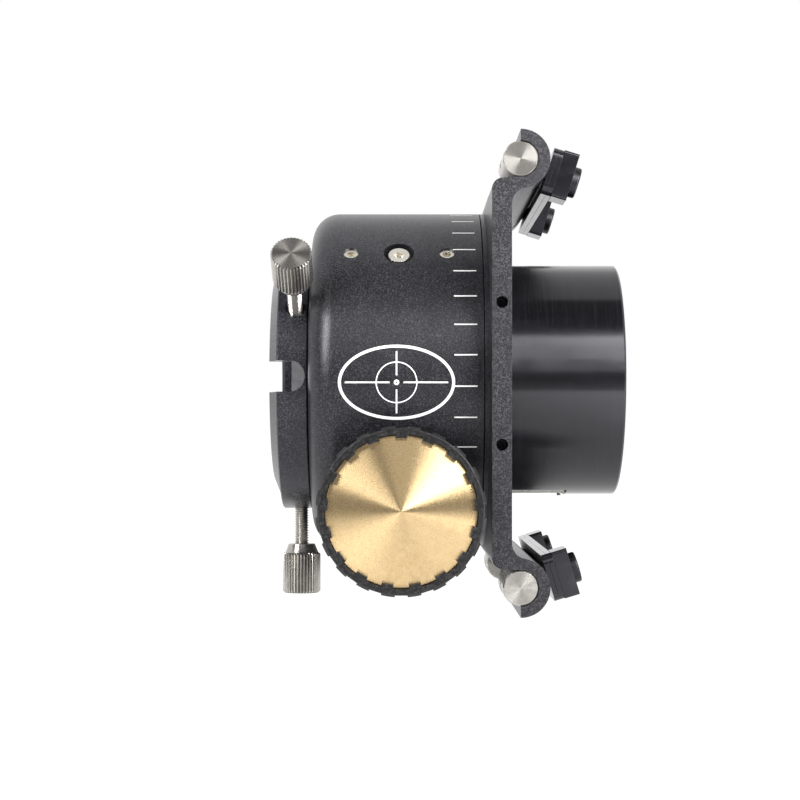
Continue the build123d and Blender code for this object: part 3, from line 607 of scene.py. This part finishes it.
# The tension and lock screws' steps, as distances back from the end of the head.
BLOCK_NECK_BACK = 6.9 * MM
BLOCK_HEAD_BACK = 6.2 * MM
BLOCK_HEAD_RADIUS = 5.0 * MM
BLOCK_NECK_RADIUS = 3.6 * MM


def knurled_screw(node, body, direction, origin, tip, neck, head, end, head_radius, neck_radius):
    """A screw with a straight-knurled head, a tapering shoulder and a real thread; heights run outward."""
    knurl = toothed(head_radius, KNURL_DEPTH, KNURL_COUNT, KNURL_SHARE, KNURL_FLANK)
    core = head_radius - KNURL_DEPTH - 0.05 * MM
    head_outline = [
        (0, neck),
        (neck_radius - 0.3 * MM, neck),
        (neck_radius, neck + 0.15 * MM),
        (core - 0.1 * MM, head - 0.1 * MM),
        (core, head),
        (knurl, head + KNURL_BEVEL),
        (knurl, end - KNURL_BEVEL),
        (core, end),
        (core * 0.5, end),
        (0, end),
    ]
    root = THREAD_RADIUS - THREAD_DEPTH
    core_end = neck + 0.2 * MM
    shank_outline = [(0, tip), (root * 0.8, tip), (root, tip + 0.3 * MM), (root, core_end), (0, core_end)]
    thread_start, thread_end = tip + 0.35 * MM, neck + 0.1 * MM
    parts = [
        lathe(head_outline, tooth_turns(KNURL_COUNT, KNURL_SHARE, KNURL_FLANK)),
        lathe(shank_outline, even_turns(TIP_TURNS)),
        thread(THREAD_RADIUS, THREAD_DEPTH, THREAD_PITCH, thread_start, thread_end),
    ]
    place = facing(origin, direction)
    make_piece(f"{node}_turned", parts, place, FINISH["stainless"], body, [node])


def make_thumb_screw(number):
    """A thumb screw of the eyepiece clamp; it points outward from the optical axis."""
    node = f"thumb_screw_{number}"
    low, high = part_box(node)
    centre = (low + high) / 2
    direction = Vector((0, centre.y, centre.z)).normalized()
    knurled_screw(
        node, f"thumb_{number}_screw", direction, (centre.x, 0, 0),
        tip=THUMB_TIP, neck=THUMB_NECK, head=THUMB_HEAD, end=THUMB_END,
        head_radius=THUMB_HEAD_RADIUS, neck_radius=THUMB_NECK_RADIUS,
    )


def make_block_screw(name):
    """The tension or the lock screw of the shaft block; it points straight down."""
    node = f"{name}_screw"
    low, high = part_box(node)
    end = -low.z
    knurled_screw(
        node, node, (0, 0, -1), ((low.x + high.x) / 2, (low.y + high.y) / 2, 0),
        tip=-high.z, neck=end - BLOCK_NECK_BACK, head=end - BLOCK_HEAD_BACK, end=end,
        head_radius=BLOCK_HEAD_RADIUS, neck_radius=BLOCK_NECK_RADIUS,
    )


for number in (1, 2, 3):
    make_thumb_screw(number)
for name in ("tension", "lock"):
    make_block_screw(name)

# --- Degree scale and emblem on the body ---------------------------------------------------------

BODY_RADIUS = 46.1 * MM
PRINT_RISE = 0.03 * MM
PRINT_SINK = 0.05 * MM


def on_body(along, around, radius):
    """A place on the body: along its axis, and around it as an arc length from the near side, upward."""
    turn = around / BODY_RADIUS
    return Vector((along, -radius * cos(turn), radius * sin(turn)))


def printed_band(stations, closed):
    """A raised band of ink over (left, right) pairs of (along, around) places."""
    vertices, faces = [], []
    for left, right in stations:
        vertices += [
            on_body(*left, BODY_RADIUS + PRINT_RISE),
            on_body(*right, BODY_RADIUS + PRINT_RISE),
            on_body(*right, BODY_RADIUS - PRINT_SINK),
            on_body(*left, BODY_RADIUS - PRINT_SINK),
        ]
    count = len(stations)
    for station in range(count if closed else count - 1):
        first, second = 4 * station, 4 * ((station + 1) % count)
        for side in range(4):
            after = (side + 1) % 4
            faces.append((first + side, first + after, second + after, second + side))
    if not closed:
        faces.append((0, 1, 2, 3))
        faces.append(tuple(4 * (count - 1) + side for side in (3, 2, 1, 0)))
    return vertices, faces


MARK_COUNT = 36
MARK_START, MARK_END = -14.2 * MM, -8.3 * MM
MARK_HALF_WIDTH = 0.175 * MM
FIRST_MARK = radians(6.3)


def scale_mark(number):
    """One mark of the degree scale, a short line along the body's axis."""
    around = (FIRST_MARK + 2 * pi * number / MARK_COUNT) * BODY_RADIUS
    below, above = around - MARK_HALF_WIDTH, around + MARK_HALF_WIDTH
    stations = [((x, below), (x, above)) for x in (MARK_START, MARK_END)]
    return printed_band(stations, False)


marks = [scale_mark(number) for number in range(MARK_COUNT)]
make_piece("degree_scale", marks, STAY, PRINT, "focuser_body")

EMBLEM_X = -29.0 * MM
EMBLEM_AROUND = -2.0 * MM
EMBLEM_HALF_LENGTH = 14.6 * MM
EMBLEM_HALF_HEIGHT = 9.3 * MM
EMBLEM_LINE = 0.75 * MM
SIGHT_RADIUS = 5.2 * MM
SIGHT_LINE = 0.3 * MM
DOT_RADIUS = 0.45 * MM
DOT_LINE = 0.5 * MM
SPOKE_START = 1.8 * MM
LONG_SPOKE_END = 13.2 * MM
SHORT_SPOKE_END = 8.0 * MM
SPOKE_LINE = 0.4 * MM
SPOKE_STEPS = 8


def oval_band(long, tall, width, steps=96):
    """A printed oval line on the body, by its half lengths."""
    stations = []
    for turn in even_turns(steps):
        stations.append(tuple(
            (EMBLEM_X + (long + side) * cos(turn), EMBLEM_AROUND + (tall + side) * sin(turn))
            for side in (-width / 2, width / 2)
        ))
    return printed_band(stations, True)


def spoke_band(turn, end):
    """A printed straight line of the crosshair, away from its centre."""
    across = (-sin(turn) * SPOKE_LINE / 2, cos(turn) * SPOKE_LINE / 2)
    stations = []
    for step in range(SPOKE_STEPS + 1):
        reach = SPOKE_START + (end - SPOKE_START) * step / SPOKE_STEPS
        x, y = EMBLEM_X + reach * cos(turn), EMBLEM_AROUND + reach * sin(turn)
        stations.append(((x - across[0], y - across[1]), (x + across[0], y + across[1])))
    return printed_band(stations, False)


# A plain oval with a crosshair in it, as in a finder's eyepiece.
lines = [
    oval_band(EMBLEM_HALF_LENGTH, EMBLEM_HALF_HEIGHT, EMBLEM_LINE),
    oval_band(SIGHT_RADIUS, SIGHT_RADIUS, SIGHT_LINE),
    oval_band(DOT_RADIUS, DOT_RADIUS, DOT_LINE, 24),
]
lines += [spoke_band(turn, LONG_SPOKE_END) for turn in (0, pi)]
lines += [spoke_band(turn, SHORT_SPOKE_END) for turn in (pi / 2, -pi / 2)]
make_piece("oval_emblem", lines, STAY, PRINT, "focuser_body")

# --- Floor ---------------------------------------------------------------------------------------

FLOOR_DROP = 0.4 * MM
FLOOR_HALF = 4.0
FLOOR_TONES = (0.12, 0.12, 0.12), (0.1, 0.1, 0.1)
FLOOR_GRAIN = 30
# In reflections the floor grows brighter across these stretches, to 1 + FRONT_RIGHT_GLOW in front on the
# right, and it ends in front of the object across the last one.
GLOW_FRONT = (-0.11, -0.04)
GLOW_RIGHT = (0.02, 0.12)
FRONT_RIGHT_GLOW = 3.0
FLOOR_END = (-0.305, -0.295)
PAST_THE_END = 0.05


def make_floor():
    """A floor just under the lowest point: plain white to the camera, and less even in reflections."""
    mesh = bpy.data.meshes.new("floor")
    level = cad_low[2] - FLOOR_DROP
    corners = [(x * FLOOR_HALF, y * FLOOR_HALF, level) for x, y in ((-1, -1), (1, -1), (1, 1), (-1, 1))]
    mesh.from_pydata(corners, [], [(0, 1, 2, 3)])
    floor = bpy.data.objects.new("floor", mesh)
    bpy.context.scene.collection.objects.link(floor)
    shader = Shader("floor_pale")
    shader.base(metallic=0.0, roughness=0.9, specular=0.0)
    shader.colour(shader.mix(shader.noise(FLOOR_GRAIN, detail=2.0, roughness=0.5), *FLOOR_TONES))
    shader.principled.inputs["Emission Color"].default_value = WHITE
    place = shader.node("ShaderNodeSeparateXYZ")
    shader.link(shader.coords, place.inputs["Vector"])
    in_front = shader.scaled(place.outputs["Y"], 1.0, 0.0, *GLOW_FRONT)
    to_the_right = shader.scaled(place.outputs["X"], 0.0, FRONT_RIGHT_GLOW, *GLOW_RIGHT)
    glow = shader.math("ADD", 1.0, shader.math("MULTIPLY", in_front, to_the_right))
    end = shader.scaled(place.outputs["Y"], PAST_THE_END, 1.0, *FLOOR_END)
    seen = shader.node("ShaderNodeLightPath").outputs["Is Camera Ray"]
    unseen = shader.math("SUBTRACT", 1.0, seen)
    reflected = shader.math("MULTIPLY", unseen, shader.math("MULTIPLY", glow, end))
    shader.link(shader.math("ADD", seen, reflected), shader.principled.inputs["Emission Strength"])
    mesh.materials.append(shader.material)


# --- Light and surroundings ----------------------------------------------------------------------

LIT_PLACE = (-0.03, -0.06, -0.03)
TOP_LIT_PLACE = (-0.03, -0.06, 0.0)


def area_light(name, place, target, width, height, watts):
    """A rectangular softbox that faces a place on the object."""
    data = bpy.data.lights.new(name, "AREA")
    data.shape = "RECTANGLE"
    data.size = width
    data.size_y = height
    data.energy = watts
    light = bpy.data.objects.new(name, data)
    light.location = place
    light.rotation_euler = (Vector(target) - Vector(place)).to_track_quat("-Z", "Y").to_euler()
    bpy.context.scene.collection.objects.link(light)


# How bright the surroundings are in reflections. Each part fades in along one axis of the direction: the
# sides and the backdrop along Y, away from the camera, and the part level with the camera down along Z.
FRONT_GLOW = 0.12
SIDES_GLOW, SIDES_FADE = 1.0, (-0.12, -0.04)
BACKDROP_GLOW, BACKDROP_FADE = 0.3, (0.7, 0.8)
LEVEL_GLOW, LEVEL_FADE = 0.08, (0.3, 0.1)


def make_world():
    """A white studio: white to the camera, and for mirrors bright behind the object and dim in front."""
    world = bpy.data.worlds.new("studio")
    bpy.context.scene.world = world
    world.use_nodes = True
    tree = world.node_tree
    tree.nodes.clear()
    output = tree.nodes.new("ShaderNodeOutputWorld")
    seen = tree.nodes.new("ShaderNodeBackground")
    seen.inputs["Color"].default_value = WHITE
    seen.inputs["Strength"].default_value = 1.0
    lit = tree.nodes.new("ShaderNodeBackground")
    direction = tree.nodes.new("ShaderNodeTexCoord")
    split = tree.nodes.new("ShaderNodeSeparateXYZ")
    tree.links.new(direction.outputs["Generated"], split.inputs["Vector"])

    def fading_in(axis, fade, glow):
        """Brightness that rises from nothing to glow along one axis of the direction."""
        ramp = tree.nodes.new("ShaderNodeMapRange")
        ramp.interpolation_type = "SMOOTHSTEP"
        ramp.inputs["From Min"].default_value, ramp.inputs["From Max"].default_value = fade
        ramp.inputs["To Max"].default_value = glow
        tree.links.new(split.outputs[axis], ramp.inputs["Value"])
        return ramp.outputs["Result"]

    def total(first, second):
        """The sum of an output and either another output or a number."""
        adding = tree.nodes.new("ShaderNodeMath")
        tree.links.new(first, adding.inputs[0])
        if isinstance(second, float):
            adding.inputs[1].default_value = second
        else:
            tree.links.new(second, adding.inputs[1])
        return adding.outputs["Value"]

    sides = fading_in("Y", SIDES_FADE, SIDES_GLOW)
    backdrop = fading_in("Y", BACKDROP_FADE, BACKDROP_GLOW)
    level_with_camera = fading_in("Z", LEVEL_FADE, LEVEL_GLOW)
    front = total(level_with_camera, FRONT_GLOW)
    tree.links.new(total(front, total(sides, backdrop)), lit.inputs["Strength"])
    path = tree.nodes.new("ShaderNodeLightPath")
    choose = tree.nodes.new("ShaderNodeMixShader")
    tree.links.new(path.outputs["Is Camera Ray"], choose.inputs["Fac"])
    tree.links.new(lit.outputs["Background"], choose.inputs[1])
    tree.links.new(seen.outputs["Background"], choose.inputs[2])
    tree.links.new(choose.outputs["Shader"], output.inputs["Surface"])


# --- Camera --------------------------------------------------------------------------------------

LENS_MM = 84.3
SENSOR_MM = 36.0
CAMERA_PLACE = (-0.0276, -0.5247, -0.016)
CAMERA_SHIFT = (-0.0025, 0.0464)
CLIP_NEAR, CLIP_FAR = 0.01, 20.0


def make_camera():
    """Level with the lower third of the body, looking along the drive shaft."""
    data = bpy.data.cameras.new("camera")
    data.lens = LENS_MM
    data.sensor_width = SENSOR_MM
    data.shift_x, data.shift_y = CAMERA_SHIFT
    data.clip_start, data.clip_end = CLIP_NEAR, CLIP_FAR
    camera = bpy.data.objects.new("camera", data)
    camera.location = CAMERA_PLACE
    camera.rotation_euler = (radians(90), 0, 0)
    bpy.context.scene.collection.objects.link(camera)
    bpy.context.scene.camera = camera


make_floor()
make_world()
make_camera()
area_light("right_box", place=(0.34, -0.5, 0.27), target=LIT_PLACE, width=0.4, height=0.42, watts=6.6)
area_light("left_box", place=(-0.42, -0.42, 0.3), target=LIT_PLACE, width=0.22, height=0.42, watts=4.2)
area_light("top_box", place=(0.02, -0.52, 0.3), target=TOP_LIT_PLACE, width=0.3, height=0.26, watts=0.27)
bpy.context.scene.view_settings.view_transform = "Standard"
